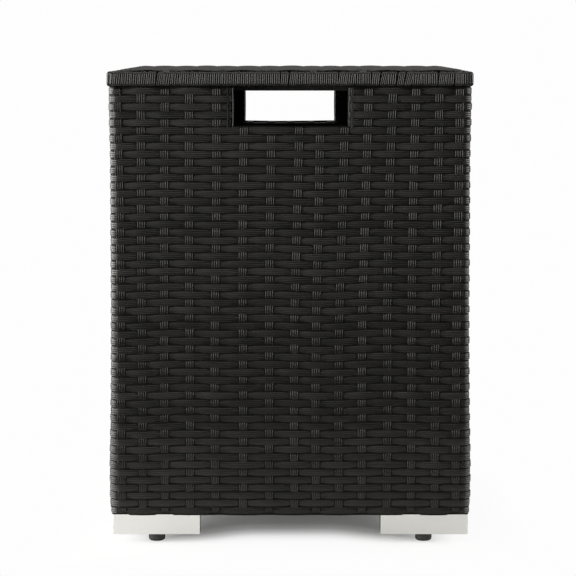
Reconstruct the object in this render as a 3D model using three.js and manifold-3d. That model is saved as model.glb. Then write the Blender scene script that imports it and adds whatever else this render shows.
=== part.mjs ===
// Side table that hides a gas bottle: a woven four-sided cover on a tube frame, open underneath,
// with a hand slot in the front and rear walls, corner feet on screw-in levelers, and a lift-off lid.
// Millimetres. +Z is up, the front faces -Y, and the origin is on the floor under the cover's middle.
import * as THREE from "three";
import { mergeVertices } from "three/addons/utils/BufferGeometryUtils.js";
import Module from "manifold-3d";

// Cover: the woven walls, measured over the strands.
const coverWidth = 410;
const coverDepth = 410;
const coverHeight = 487.5;
const coverCornerRadius = 8;
const weaveThickness = 4.5;
const wrapThickness = 2;

// How far the strands draw the walls in halfway up, and the facets of that curve.
const wallWaist = 1.6;
const wallWaistSegments = 8;

// Hand slots: notches in the top edge of the front and rear walls.
// The rear one is deeper and narrower.
const frontSlotWidth = 129;
const frontSlotDepth = 43.5;
const rearSlotWidth = 117;
const rearSlotDepth = 52;

// Frame of the cover: square tubes behind the weave.
const tubeSize = 20;
const tubeWall = 1.2;
const tubeCornerRadius = 2;

// Corner feet: L-shaped metal trays, open at the top, with bosses for screws and levelers.
const footLegLength = 100;
const footWidth = 30;
const footHeight = 23;
const footInset = 1.5;
const footWall = 2;
const footFloor = 2.5;
const footEdgeRadius = 1.5;
const footBossRadius = 7;
const footScrewFromEnd = 18;
const footScrewEngagement = 6;

// Screws of the feet, with a pan head sunk in the boss.
const footScrewRadius = 2.5;
const footScrewHeadRadius = 4.5;
const footScrewHeadHeight = 3;
const footScrewHeadSink = 1;

// Levelers: a round moulded pad on a threaded stem.
const padRadius = 9.5;
const padHeight = 9.5;
const padEdgeRadius = 3;
const stemRadius = 4;
const stemLength = 17;

// Lid: a tube frame with bound edges, a woven field on top and a board underneath.
const lidOverhang = 1.5;
const lidCornerRadius = 9;
const lidEdgeRadius = 6;
const lidTubeWidth = 20;
const lidTubeHeight = 12.5;
const fieldThickness = 2.7;
const fieldInset = 4;
const fieldEdgeRadius = 1;
const crossBarSpacingShare = 0.34;
const boardThickness = 7;
const boardPlay = 5;
const boardCornerRadius = 6;

// Screws of the board, with the head under it.
const boardScrewRadius = 2;
const boardScrewHeadRadius = 4;
const boardScrewHeadHeight = 2.5;
const boardScrewEngagement = 5;
const boardScrewFromEdge = 55;

// Gap between pieces that touch, and the length by which a cutter runs past what it cuts.
const seatGap = 0.3;
const cutOverrun = 5;

// Facets of round shapes.
const cornerSegments = 4;
const roundSegments = 20;

// Levels, from the floor up.
const footBottom = padHeight + seatGap;
const footTop = footBottom + footHeight;
const coverBottom = footTop + seatGap;
const coverTop = coverBottom + coverHeight;
const lidBottom = coverTop + seatGap;

// Half sizes of the cover: outside, and at the faces of its tubes.
const halfWidth = coverWidth / 2;
const halfDepth = coverDepth / 2;
const tubeOutset = weaveThickness + seatGap;
const wallZone = tubeOutset + tubeSize;
const openingHalfWidth = halfWidth - wallZone;
const openingHalfDepth = halfDepth - wallZone;

const wasm = await Module();
wasm.setup();

// Materials

function material(color, roughness, metalness) {
  return new THREE.MeshStandardMaterial({ color, roughness, metalness });
}

const wicker = material("#262523", 0.55, 0);
const frameCoat = material("#121212", 0.6, 0.3);
const footMetal = material("#c9cac4", 0.32, 1);
const padPlastic = material("#151515", 0.7, 0);
const boardPaint = material("#101010", 0.8, 0);
const screwSteel = material("#8d8f90", 0.4, 1);

// Solids: closed geometry to a solid for joining and cutting, and back.

function toSolid(geometry) {
  const bare = geometry.clone();
  bare.deleteAttribute("normal");
  bare.deleteAttribute("uv");
  const merged = mergeVertices(bare);
  return new wasm.Manifold(
    new wasm.Mesh({
      numProp: 3,
      vertProperties: merged.attributes.position.array,
      triVerts: new Uint32Array(merged.index.array),
    }),
  );
}

function toGeometry(solid) {
  const mesh = solid.getMesh();
  const indexed = new THREE.BufferGeometry();
  indexed.setAttribute("position", new THREE.BufferAttribute(mesh.vertProperties, mesh.numProp));
  indexed.setIndex(new THREE.BufferAttribute(mesh.triVerts, 1));
  const geometry = indexed.toNonIndexed();
  geometry.computeVertexNormals();
  return geometry;
}

// Box between two corners.
function block([x0, y0, z0], [x1, y1, z1]) {
  const geometry = new THREE.BoxGeometry(x1 - x0, y1 - y0, z1 - z0);
  return geometry.translate((x0 + x1) / 2, (y0 + y1) / 2, (z0 + z1) / 2);
}

function blockSolid(low, high) {
  return toSolid(block(low, high));
}

// Upright cylinder from one level to another.
function cylinderSolid(x, y, z0, z1, radius) {
  const geometry = new THREE.CylinderGeometry(radius, radius, z1 - z0, roundSegments);
  geometry.rotateX(Math.PI / 2).translate(x, y, (z0 + z1) / 2);
  return toSolid(geometry);
}

// Rectangle about the origin with round corners.
function roundedRectangle(width, height, radius) {
  const x = width / 2 - radius;
  const y = height / 2 - radius;
  const shape = new THREE.Shape();
  shape.moveTo(-x, -y - radius);
  shape.absarc(x, -y, radius, -Math.PI / 2, 0);
  shape.absarc(x, y, radius, 0, Math.PI / 2);
  shape.absarc(-x, y, radius, Math.PI / 2, Math.PI);
  shape.absarc(-x, -y, radius, Math.PI, Math.PI * 1.5);
  return shape;
}

// Shape in X and Y pushed up from z = 0, in one step or more.
function extrude(shape, height, steps = 1) {
  const options = { depth: height, bevelEnabled: false, curveSegments: cornerSegments, steps };
  return new THREE.ExtrudeGeometry(shape, options);
}

// Slab on z = 0 whose top and bottom edges are rounded.
function roundedSlab(width, depth, height, cornerRadius, edgeRadius) {
  const inner = roundedRectangle(
    width - 2 * edgeRadius,
    depth - 2 * edgeRadius,
    cornerRadius - edgeRadius,
  );
  const geometry = new THREE.ExtrudeGeometry(inner, {
    depth: height - 2 * edgeRadius,
    bevelThickness: edgeRadius,
    bevelSize: edgeRadius,
    bevelSegments: cornerSegments,
    curveSegments: cornerSegments,
  });
  return geometry.translate(0, 0, edgeRadius);
}

function lathe(points) {
  return new THREE.LatheGeometry(points, roundSegments).rotateX(Math.PI / 2);
}

function named(name, geometry, surface, x = 0, y = 0, z = 0) {
  const mesh = new THREE.Mesh(geometry, surface);
  mesh.name = name;
  mesh.position.set(x, y, z);
  return mesh;
}

// Tubes

// Rectangular tube about the origin, along the named axis, open at both ends.
// Its second size is the level one and its third the upright one on a level tube.
function tubeGeometry(axis, length, levelSize, uprightSize) {
  const section = roundedRectangle(levelSize, uprightSize, tubeCornerRadius);
  const bore = [levelSize - 2 * tubeWall, uprightSize - 2 * tubeWall];
  section.holes.push(roundedRectangle(...bore, tubeCornerRadius - tubeWall));
  const geometry = extrude(section, length).translate(0, 0, -length / 2);
  if (axis === "x") geometry.rotateX(Math.PI / 2).rotateZ(Math.PI / 2);
  if (axis === "y") geometry.rotateX(Math.PI / 2);
  return geometry;
}

function squareTube(name, axis, length, x, y, z) {
  return named(name, tubeGeometry(axis, length, tubeSize, tubeSize), frameCoat, x, y, z);
}

// Screw places under the bottom rails: two to a foot, one on each leg.

const footHalfWidth = halfWidth - footInset;
const footHalfDepth = halfDepth - footInset;
const screwAlong = footLegLength - footScrewFromEnd;
const legMiddle = footWidth / 2;
const footScrewPlaces = [-1, 1].flatMap((sideX) =>
  [-1, 1].flatMap((sideY) => [
    [sideX * (footHalfWidth - screwAlong), sideY * (footHalfDepth - legMiddle)],
    [sideX * (footHalfWidth - legMiddle), sideY * (footHalfDepth - screwAlong)],
  ]),
);
const footScrewHoleRadius = footScrewRadius + seatGap;

function drilled(solid, places, radius, z0, z1) {
  return places.reduce(
    (left, [x, y]) => left.subtract(cylinderSolid(x, y, z0, z1, radius)),
    solid,
  );
}

// Frame of the cover

const tubeBottom = coverBottom + wrapThickness + seatGap;
const tubeTop = coverTop - wrapThickness - seatGap;
const tubeCentreX = openingHalfWidth + tubeSize / 2;
const tubeCentreY = openingHalfDepth + tubeSize / 2;

// The two walls that have a hand slot, with the side of Y that each is on.
const slottedWalls = [
  { side: "front", way: -1, width: frontSlotWidth, depth: frontSlotDepth },
  { side: "back", way: 1, width: rearSlotWidth, depth: rearSlotDepth },
];

function bottomRail(name, axis, length, x, y) {
  const z = tubeBottom + tubeSize / 2;
  const rail = toSolid(tubeGeometry(axis, length, tubeSize, tubeSize).translate(x, y, z));
  const top = tubeBottom + tubeSize / 2;
  const holes = drilled(rail, footScrewPlaces, footScrewHoleRadius, coverBottom, top);
  return named(name, toGeometry(holes), frameCoat);
}

function frameOfCover() {
  const frame = new THREE.Group();
  const postHeight = tubeTop - tubeBottom;
  const railLengthX = 2 * (openingHalfWidth - seatGap);
  const railLengthY = 2 * (openingHalfDepth - seatGap);
  const topZ = tubeTop - tubeSize / 2;
  const uprightFoot = tubeBottom + tubeSize + seatGap;
  for (const [side, y] of [["front", -tubeCentreY], ["back", tubeCentreY]])
    for (const [end, x] of [["left", -tubeCentreX], ["right", tubeCentreX]])
      frame.add(
        squareTube(`post_${side}_${end}`, "z", postHeight, x, y, (tubeTop + tubeBottom) / 2),
      );
  for (const [side, x] of [["left", -tubeCentreX], ["right", tubeCentreX]]) {
    frame.add(bottomRail(`bottom_rail_${side}`, "y", railLengthY, x, 0));
    frame.add(squareTube(`top_rail_${side}`, "y", railLengthY, x, 0, topZ));
  }
  for (const { side, way, width, depth } of slottedWalls) {
    const y = way * tubeCentreY;
    const uprightX = width / 2 + wrapThickness + seatGap + tubeSize / 2;
    const inner = uprightX + tubeSize / 2 + seatGap;
    const outer = openingHalfWidth - seatGap;
    const railMiddle = (inner + outer) / 2;
    const uprightMiddle = (tubeTop + uprightFoot) / 2;
    const sillTop = coverTop - depth - wrapThickness - seatGap;
    frame.add(bottomRail(`bottom_rail_${side}`, "x", railLengthX, 0, y));
    for (const [end, sign] of [["left", -1], ["right", 1]]) {
      const rail = `top_rail_${side}_${end}`;
      const upright = `upright_${side}_${end}`;
      frame.add(
        squareTube(rail, "x", outer - inner, sign * railMiddle, y, topZ),
        squareTube(upright, "z", tubeTop - uprightFoot, sign * uprightX, y, uprightMiddle),
      );
    }
    const sillLength = 2 * (uprightX - tubeSize / 2 - seatGap);
    frame.add(squareTube(`slot_sill_${side}`, "x", sillLength, 0, y, sillTop - tubeSize / 2));
  }
  return frame;
}

// Woven walls: one sleeve that wraps over the rails and into the slots, parted at its corners.

// Box of a slot, wider and deeper by a margin, from the opening of the cover to beyond its wall.
function slotSolid({ way, width, depth }, margin) {
  const half = width / 2 + margin;
  const inside = way * openingHalfDepth;
  const outside = way * (halfDepth + cutOverrun);
  return blockSolid(
    [-half, Math.min(inside, outside), coverTop - depth - margin],
    [half, Math.max(inside, outside), coverTop + cutOverrun],
  );
}

// Outer shape of the woven cover: full size at the rails, and drawn in between them.
function waistedBlock() {
  const outline = roundedRectangle(coverWidth, coverDepth, coverCornerRadius);
  const geometry = extrude(outline, coverHeight, wallWaistSegments);
  const place = geometry.attributes.position;
  for (let i = 0; i < place.count; i++) {
    const drawnIn = wallWaist * Math.sin((Math.PI * place.getZ(i)) / coverHeight);
    place.setX(i, place.getX(i) * (1 - drawnIn / halfWidth));
    place.setY(i, place.getY(i) * (1 - drawnIn / halfDepth));
  }
  return geometry.translate(0, 0, coverBottom);
}

function sleeve() {
  const outside = toSolid(waistedBlock());
  const opening = blockSolid(
    [-openingHalfWidth, -openingHalfDepth, coverBottom - cutOverrun],
    [openingHalfWidth, openingHalfDepth, coverTop + cutOverrun],
  );
  const cavityHalfWidth = halfWidth - weaveThickness;
  const cavityHalfDepth = halfDepth - weaveThickness;
  let cavity = blockSolid(
    [-cavityHalfWidth, -cavityHalfDepth, coverBottom + wrapThickness],
    [cavityHalfWidth, cavityHalfDepth, coverTop - wrapThickness],
  );
  for (const wall of slottedWalls) cavity = cavity.subtract(slotSolid(wall, wrapThickness));
  let walls = outside.subtract(opening).subtract(cavity);
  for (const wall of slottedWalls) walls = walls.subtract(slotSolid(wall, 0));
  const low = coverBottom - cutOverrun;
  return drilled(walls, footScrewPlaces, footScrewHoleRadius, low, tubeBottom);
}

// Prism that holds one wall: it narrows inwards at 45 degrees from both corners.
function wallPrism(halfLength, halfAcross) {
  const outset = cutOverrun;
  const inset = wallZone + cutOverrun;
  const gap = seatGap / Math.SQRT2;
  const shape = new THREE.Shape();
  shape.moveTo(-halfLength - outset + gap, -halfAcross - outset);
  shape.lineTo(halfLength + outset - gap, -halfAcross - outset);
  shape.lineTo(halfLength - inset - gap, -halfAcross + inset);
  shape.lineTo(-halfLength + inset + gap, -halfAcross + inset);
  shape.closePath();
  return extrude(shape, coverHeight + 2 * cutOverrun).translate(0, 0, coverBottom - cutOverrun);
}

function wovenWalls() {
  const weave = new THREE.Group();
  const whole = sleeve();
  const walls = [
    ["front", halfWidth, halfDepth, 0],
    ["right", halfDepth, halfWidth, 1],
    ["back", halfWidth, halfDepth, 2],
    ["left", halfDepth, halfWidth, 3],
  ];
  for (const [side, halfLength, halfAcross, quarterTurns] of walls) {
    const prism = wallPrism(halfLength, halfAcross).rotateZ((quarterTurns * Math.PI) / 2);
    weave.add(named(`woven_wall_${side}`, toGeometry(whole.intersect(toSolid(prism))), wicker));
  }
  return weave;
}

// Feet: each stands in a group at its outer corner, with legs along +X and +Y of that group.

function footOutline(inset) {
  const far = footLegLength - inset;
  const near = footWidth - inset;
  const radius = inset > 0 ? footEdgeRadius / 2 : footEdgeRadius;
  const shape = new THREE.Shape();
  shape.moveTo(inset + radius, inset);
  shape.lineTo(far, inset);
  shape.lineTo(far, near);
  shape.lineTo(near, near);
  shape.lineTo(near, far);
  shape.lineTo(inset, far);
  shape.lineTo(inset, inset + radius);
  shape.absarc(inset + radius, inset + radius, radius, Math.PI, Math.PI * 1.5);
  return shape;
}

const headTop = footScrewHeadSink + footScrewHeadHeight;

function footGeometry() {
  const bossPlaces = [
    [screwAlong, legMiddle],
    [legMiddle, screwAlong],
  ];
  const stemPlaces = [
    [footLegLength / 2, legMiddle],
    [legMiddle, footLegLength / 2],
  ];
  let foot = toSolid(extrude(footOutline(0), footHeight));
  foot = foot.subtract(
    toSolid(extrude(footOutline(footWall), footHeight).translate(0, 0, footFloor)),
  );
  for (const [x, y] of [...bossPlaces, ...stemPlaces])
    foot = foot.add(cylinderSolid(x, y, footFloor / 2, footHeight, footBossRadius));
  const high = footHeight + cutOverrun;
  const headRoom = headTop + seatGap;
  foot = drilled(foot, bossPlaces, footScrewHoleRadius, -cutOverrun, high);
  foot = drilled(foot, bossPlaces, footScrewHeadRadius + seatGap, -cutOverrun, headRoom);
  foot = drilled(foot, stemPlaces, stemRadius + seatGap, -cutOverrun, high);
  return toGeometry(foot);
}

// Pan-head screw, its head's top face on z = 0 and its shank upwards.
function screwGeometry(radius, headRadius, headHeight, shankLength) {
  const rounding = headHeight / 3;
  return lathe([
    new THREE.Vector2(0, -headHeight),
    new THREE.Vector2(headRadius - rounding, -headHeight),
    new THREE.Vector2(headRadius, rounding - headHeight),
    new THREE.Vector2(headRadius, 0),
    new THREE.Vector2(radius, 0),
    new THREE.Vector2(radius, shankLength - radius),
    new THREE.Vector2(0, shankLength),
  ]);
}

// Leveler with the underside of its pad on z = 0.
function levelerGeometry() {
  const pad = [new THREE.Vector2(0, 0)];
  for (let i = 0; i <= cornerSegments; i += 1) {
    const angle = (i / cornerSegments) * (Math.PI / 2);
    pad.push(
      new THREE.Vector2(
        padRadius - padEdgeRadius + padEdgeRadius * Math.sin(angle),
        padEdgeRadius - padEdgeRadius * Math.cos(angle),
      ),
    );
  }
  const chamfer = stemRadius / 4;
  return lathe([
    ...pad,
    new THREE.Vector2(padRadius, padHeight),
    new THREE.Vector2(stemRadius, padHeight),
    new THREE.Vector2(stemRadius, padHeight + stemLength - chamfer),
    new THREE.Vector2(stemRadius - chamfer, padHeight + stemLength),
    new THREE.Vector2(0, padHeight + stemLength),
  ]);
}

function feet() {
  const all = new THREE.Group();
  const foot = footGeometry();
  const leveler = levelerGeometry();
  const screwSeat = footBottom + headTop;
  const screwTip = tubeBottom + tubeWall + footScrewEngagement;
  const screw = screwGeometry(
    footScrewRadius, footScrewHeadRadius, footScrewHeadHeight, screwTip - screwSeat,
  );
  const corners = [
    ["front_left", -1, -1, "front", "left"],
    ["front_right", 1, -1, "right", "front"],
    ["back_right", 1, 1, "back", "right"],
    ["back_left", -1, 1, "left", "back"],
  ];
  corners.forEach(([corner, sideX, sideY, legX, legY], quarterTurns) => {
    const group = new THREE.Group();
    group.position.set(sideX * footHalfWidth, sideY * footHalfDepth, 0);
    group.rotation.z = (quarterTurns * Math.PI) / 2;
    group.add(named(`foot_${corner}`, foot, footMetal, 0, 0, footBottom));
    for (const [leg, along] of [[legX, true], [legY, false]]) {
      const stem = along ? [footLegLength / 2, legMiddle] : [legMiddle, footLegLength / 2];
      const hole = along ? [screwAlong, legMiddle] : [legMiddle, screwAlong];
      group.add(named(`leveler_${corner}_${leg}_leg`, leveler, padPlastic, ...stem, 0));
      group.add(named(`foot_screw_${corner}_${leg}_leg`, screw, screwSteel, ...hole, screwSeat));
    }
    all.add(group);
  });
  return all;
}

// Lid: built on z = 0, its underside, and lifted into place by its group.

const lidWidth = coverWidth + 2 * lidOverhang;
const lidDepth = coverDepth + 2 * lidOverhang;
const lidTubeBottom = wrapThickness + seatGap;
const lidTubeTop = lidTubeBottom + lidTubeHeight;
const bindingHeight = lidTubeTop + seatGap + wrapThickness;
const lidTubeOuterX = lidWidth / 2 - wrapThickness - seatGap;
const lidTubeOuterY = lidDepth / 2 - wrapThickness - seatGap;
const lidOpeningX = lidTubeOuterX - lidTubeWidth;
const lidOpeningY = lidTubeOuterY - lidTubeWidth;
const crossBarX = (lidWidth * crossBarSpacingShare) / 2;
const boardHalfWidth = openingHalfWidth - boardPlay;
const boardHalfDepth = openingHalfDepth - boardPlay;
const boardScrewY = boardHalfDepth - boardScrewFromEdge;
const boardScrewHoleRadius = boardScrewRadius + seatGap;
const boardScrewPlaces = [-1, 1].flatMap((sideX) =>
  [-1, 1].map((sideY) => [sideX * crossBarX, sideY * boardScrewY]),
);

// Binding strands around the edge tubes: a C section that opens inwards.
function bindingGeometry() {
  const slab = roundedSlab(lidWidth, lidDepth, bindingHeight, lidCornerRadius, lidEdgeRadius);
  const opening = blockSolid(
    [-lidOpeningX, -lidOpeningY, -cutOverrun],
    [lidOpeningX, lidOpeningY, bindingHeight + cutOverrun],
  );
  const hollow = blockSolid(
    [-lidTubeOuterX - seatGap, -lidTubeOuterY - seatGap, wrapThickness],
    [lidTubeOuterX + seatGap, lidTubeOuterY + seatGap, bindingHeight - wrapThickness],
  );
  return toGeometry(toSolid(slab).subtract(opening).subtract(hollow));
}

function crossBar(name, x) {
  const length = 2 * (lidOpeningY - seatGap);
  const height = bindingHeight - lidTubeBottom;
  const z = lidTubeBottom + height / 2;
  const bar = toSolid(tubeGeometry("y", length, lidTubeWidth, height).translate(x, 0, z));
  const holes = drilled(bar, boardScrewPlaces, boardScrewHoleRadius, 0, z);
  return named(name, toGeometry(holes), frameCoat);
}

function boardGeometry() {
  const outline = roundedRectangle(2 * boardHalfWidth, 2 * boardHalfDepth, boardCornerRadius);
  const board = toSolid(extrude(outline, boardThickness));
  const high = boardThickness + cutOverrun;
  return toGeometry(drilled(board, boardScrewPlaces, boardScrewHoleRadius, -cutOverrun, high));
}

function lid() {
  const group = new THREE.Group();
  group.position.z = lidBottom;
  const tubeZ = lidTubeBottom + lidTubeHeight / 2;
  for (const [side, way] of [["front", -1], ["back", 1]]) {
    const tube = tubeGeometry("x", 2 * lidTubeOuterX, lidTubeWidth, lidTubeHeight);
    const y = way * (lidTubeOuterY - lidTubeWidth / 2);
    group.add(named(`lid_frame_${side}`, tube, frameCoat, 0, y, tubeZ));
  }
  for (const [side, way] of [["left", -1], ["right", 1]]) {
    const length = 2 * (lidOpeningY - seatGap);
    const tube = tubeGeometry("y", length, lidTubeWidth, lidTubeHeight);
    const x = way * (lidTubeOuterX - lidTubeWidth / 2);
    group.add(named(`lid_frame_${side}`, tube, frameCoat, x, 0, tubeZ));
    group.add(crossBar(`lid_cross_bar_${side}`, way * crossBarX));
  }
  group.add(named("lid_edge_binding", bindingGeometry(), wicker));
  const field = roundedSlab(
    lidWidth - 2 * fieldInset,
    lidDepth - 2 * fieldInset,
    fieldThickness,
    lidCornerRadius,
    fieldEdgeRadius,
  );
  group.add(named("lid_woven_top", field, wicker, 0, 0, bindingHeight + seatGap));
  const boardBottom = lidTubeBottom - seatGap - boardThickness;
  group.add(named("lid_board", boardGeometry(), boardPaint, 0, 0, boardBottom));
  const seat = boardBottom - seatGap;
  const tip = lidTubeBottom + tubeWall + boardScrewEngagement;
  const screw = screwGeometry(
    boardScrewRadius, boardScrewHeadRadius, boardScrewHeadHeight, tip - seat,
  );
  boardScrewPlaces.forEach(([x, y]) => {
    const name = `board_screw_${y < 0 ? "front" : "back"}_${x < 0 ? "left" : "right"}`;
    group.add(named(name, screw, screwSteel, x, y, seat));
  });
  return group;
}

const table = new THREE.Group();
table.add(frameOfCover(), wovenWalls(), feet(), lid());

export default table;
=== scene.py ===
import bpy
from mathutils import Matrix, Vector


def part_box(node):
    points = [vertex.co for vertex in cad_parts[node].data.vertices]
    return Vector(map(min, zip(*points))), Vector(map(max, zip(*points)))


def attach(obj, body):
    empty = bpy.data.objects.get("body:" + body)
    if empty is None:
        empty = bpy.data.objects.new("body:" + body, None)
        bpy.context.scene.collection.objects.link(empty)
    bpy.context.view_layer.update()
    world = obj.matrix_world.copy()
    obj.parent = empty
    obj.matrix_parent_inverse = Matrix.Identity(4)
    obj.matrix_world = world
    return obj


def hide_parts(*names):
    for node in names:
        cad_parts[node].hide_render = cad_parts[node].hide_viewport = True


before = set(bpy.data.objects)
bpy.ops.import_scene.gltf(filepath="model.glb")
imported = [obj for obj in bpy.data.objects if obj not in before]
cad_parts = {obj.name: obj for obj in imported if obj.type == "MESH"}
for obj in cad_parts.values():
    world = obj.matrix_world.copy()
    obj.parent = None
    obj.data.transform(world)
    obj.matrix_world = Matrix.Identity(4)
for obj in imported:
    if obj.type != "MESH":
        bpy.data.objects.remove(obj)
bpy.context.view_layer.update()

import math

import bmesh
import bpy
import numpy as np
from mathutils import Vector

SEED = 41
rng = np.random.default_rng(SEED)
MM = 0.001
# Keeps a vector's length from being zero.
TINY = 1e-12
SIDES = ("front", "right", "back", "left")

# Sizes that follow the CAD, in metres.
front_low, front_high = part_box("woven_wall_front")
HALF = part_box("woven_wall_right")[1].x
WALL_LOW, WALL_HIGH = front_low.z, front_high.z
slot_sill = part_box("slot_sill_front")[1].z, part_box("slot_sill_back")[1].z
slot_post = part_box("upright_front_right")[0].x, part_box("upright_back_right")[0].x
lid_low, lid_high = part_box("lid_edge_binding")
LID_HALF = lid_high.x
LID_LOW, LID_HIGH = lid_low.z, lid_high.z

# Radii of the corners seen from above, and how far the weave wraps over the tubes at a slot.
CORNER = 12.5 * MM
LID_CORNER = 9 * MM
WRAP = 2.3 * MM
# Half the width of each slot and the height of its sill, by the number of its side.
SLOTS = {
    0: (slot_post[0] - WRAP, slot_sill[0] + WRAP),
    2: (slot_post[1] - WRAP, slot_sill[1] + WRAP),
}

# Strands: a flat band with fine ribs along its outer face, and thin flanges at its back. Places across
# and heights are shares of a strand's width and thickness.
THICK = 1.3 * MM
THIN = 1.0 * MM
RIBS = 4
RIB_HEIGHT = 0.20
CROWN = 0.14
DOME = 0.12
# From the face's edge down to the flange: how far out the rim goes, and the heights.
RIM_OUT = (0.02, 0.03)
RIM_HEIGHTS = (-0.08, -0.44, -0.5)


def section(outer_rib, rib_half, edge, flange):
    """Places across and heights round a strand's outer face, from one flange to the other."""
    across, height = [-edge], [0.0]
    for middle in np.linspace(-outer_rib, outer_rib, RIBS):
        across += [middle - rib_half, middle, middle + rib_half]
        height += [0.0, RIB_HEIGHT, 0.0]
    across, height = np.array([*across, edge]), np.array([*height, 0.0])
    height = height + CROWN + DOME * (1 - (across / edge) ** 2)
    rim_across = np.array([edge + RIM_OUT[0], edge + RIM_OUT[1], flange])
    rim_height = np.array(RIM_HEIGHTS)
    across = np.concatenate([-rim_across[::-1], across, rim_across])
    height = np.concatenate([rim_height[::-1], height, rim_height])
    return across, height


ROW_SECTION = section(outer_rib=0.335, rib_half=0.046, edge=0.394, flange=0.62)
STAKE_SECTION = section(outer_rib=0.405, rib_half=0.034, edge=0.445, flange=0.58)
BINDING_SECTION = section(outer_rib=0.375, rib_half=0.04, edge=0.47, flange=0.54)
RING = len(ROW_SECTION[0])
FLANGE = np.isin(np.arange(RING), (0, RING - 1))
# Faces of the flanges and the back, which lie in the dark between the strands and get the painted shade.
PAINTED_SHADE_FACES = (FLANGE | np.roll(FLANGE, -1)).astype(np.int32)


def add_object(name, data):
    """Puts a mesh, light or camera in the scene."""
    made = bpy.data.objects.new(name, data)
    bpy.context.scene.collection.objects.link(made)
    return made


class Bundle:
    """Collects strands and makes them one mesh, with a random number for each strand."""

    def __init__(self):
        self.points, self.faces, self.tone, self.count = [], [], [], 0

    def add(self, centre, normal, width, shape=ROW_SECTION, loop=False, thick=THICK, twist=0.0, taper=1.0):
        """A strand along centre, its ribbed side towards normal. Taper narrows all but its flanges."""
        across, height = shape
        centre, normal = np.asarray(centre, float), np.asarray(normal, float)
        if loop:
            along = np.roll(centre, -1, 0) - np.roll(centre, 1, 0)
        else:
            along = np.gradient(centre, axis=0)
        along /= np.linalg.norm(along, axis=1, keepdims=True) + TINY
        normal = normal - along * (normal * along).sum(1, keepdims=True)
        normal /= np.linalg.norm(normal, axis=1, keepdims=True) + TINY
        side = np.cross(along, normal)
        twist = np.broadcast_to(twist, len(centre))[:, None]
        side, normal = (
            side * np.cos(twist) + normal * np.sin(twist),
            normal * np.cos(twist) - side * np.sin(twist),
        )
        taper = np.broadcast_to(taper, len(centre))[:, None]
        spread = across[None, :] * width * np.where(FLANGE[None, :], 1.0, taper)
        self.add_rings(
            centre[:, None, :]
            + side[:, None, :] * spread[:, :, None]
            + normal[:, None, :] * (height[None, :, None] * thick),
            loop,
        )

    def add_rings(self, rings, loop=False):
        """A strand by the points of its cross-sections."""
        count = len(rings)
        self.points.append(rings.reshape(-1, 3))
        ring = np.arange(count if loop else count - 1)[:, None]
        here, there = ring * RING, (ring + 1) % count * RING
        corner = np.arange(RING)[None, :]
        next_corner = (corner + 1) % RING
        quads = (here + corner, here + next_corner, there + next_corner, there + corner)
        self.faces.append(np.stack([quad.ravel() for quad in quads], 1) + self.count)
        self.tone.append(np.full(count * RING, rng.random()))
        self.count += count * RING

    def build(self, name):
        """The mesh of all strands, as an object."""
        points = np.concatenate(self.points)
        faces = np.concatenate(self.faces)
        mesh = bpy.data.meshes.new(name)
        mesh.vertices.add(len(points))
        mesh.vertices.foreach_set("co", points.astype(np.float32).ravel())
        mesh.loops.add(faces.size)
        mesh.loops.foreach_set("vertex_index", faces.astype(np.int32).ravel())
        mesh.polygons.add(len(faces))
        loop_starts = np.arange(0, faces.size, faces.shape[1], dtype=np.int32)
        mesh.polygons.foreach_set("loop_start", loop_starts)
        mesh.update(calc_edges=True)
        mesh.polygons.foreach_set("use_smooth", np.ones(len(faces), bool))
        # Those faces take the second material, the painted shade.
        mesh.polygons.foreach_set("material_index", np.tile(PAINTED_SHADE_FACES, len(faces) // RING))
        # The ribs' edges are crisp; along the strand the shading is smooth.
        ends = np.empty(len(mesh.edges) * 2, np.int32)
        mesh.edges.foreach_get("vertices", ends)
        crisp = mesh.attributes.new("sharp_edge", "BOOLEAN", "EDGE")
        crisp.data.foreach_set("value", ends[::2] % RING == ends[1::2] % RING)
        tone = mesh.attributes.new("tone", "FLOAT", "POINT")
        tone.data.foreach_set("value", np.concatenate(self.tone).astype(np.float32))
        mesh.validate()
        return add_object(name, mesh)


class Outline:
    """A square with round corners, by distance along it. Side 0 is the front, then right, back, left."""

    def __init__(self, half, corner):
        self.half, self.corner = half, corner
        self.straight = 2 * (half - corner)
        self.side = self.straight + math.pi / 2 * corner
        self.total = len(SIDES) * self.side

    def at(self, distance):
        """Points and outward normals in the plane."""
        distance = np.asarray(distance, float) % self.total
        side = np.floor(distance / self.side)
        along = distance - side * self.side
        on_arc = along > self.straight
        angle = np.where(on_arc, (along - self.straight) / self.corner, 0.0)
        arc_x = self.half - self.corner + self.corner * np.sin(angle)
        arc_y = -self.half + self.corner - self.corner * np.cos(angle)
        x = np.where(on_arc, arc_x, along - self.straight / 2)
        y = np.where(on_arc, arc_y, -self.half)
        out_x, out_y = np.sin(angle), -np.cos(angle)
        cosine, sine = np.cos(side * math.pi / 2), np.sin(side * math.pi / 2)
        points = np.stack([x * cosine - y * sine, x * sine + y * cosine], -1)
        return points, np.stack([out_x * cosine - out_y * sine, out_x * sine + out_y * cosine], -1)

    def distance_of(self, side, place):
        """Distance along the outline of a place, which is measured from the middle of a side."""
        return side * self.side + self.straight / 2 + place


# The walls' weave: its rows and their pitch, the width of rows and stakes, the depth of its middle, and
# places of strands in front of it: rows over and under the stakes, and the stakes' middle and swing.
wall = Outline(HALF, CORNER)
ROWS = 55
PITCH = (WALL_HIGH - WALL_LOW) / ROWS
ROW_WIDE = 8.9 * MM
STAKE_WIDE = 9.5 * MM
SKIN = 0.7 * MM
ROW_OVER, ROW_UNDER = 1.15 * MM, -0.95 * MM
STAKE_MIDDLE, STAKE_SWING = 0.05 * MM, 0.32 * MM

# How far the walls draw in, in millimetres, at shares of their height.
WAIST_LEVELS = (0.0, 0.06, 0.13, 0.22, 0.32, 0.5, 0.84, 0.94, 1.0)
WAIST_DEPTHS = (-1.1, -1.4, -1.4, -0.2, 0.7, 1.5, 1.8, 0.8, 0.4)

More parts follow.
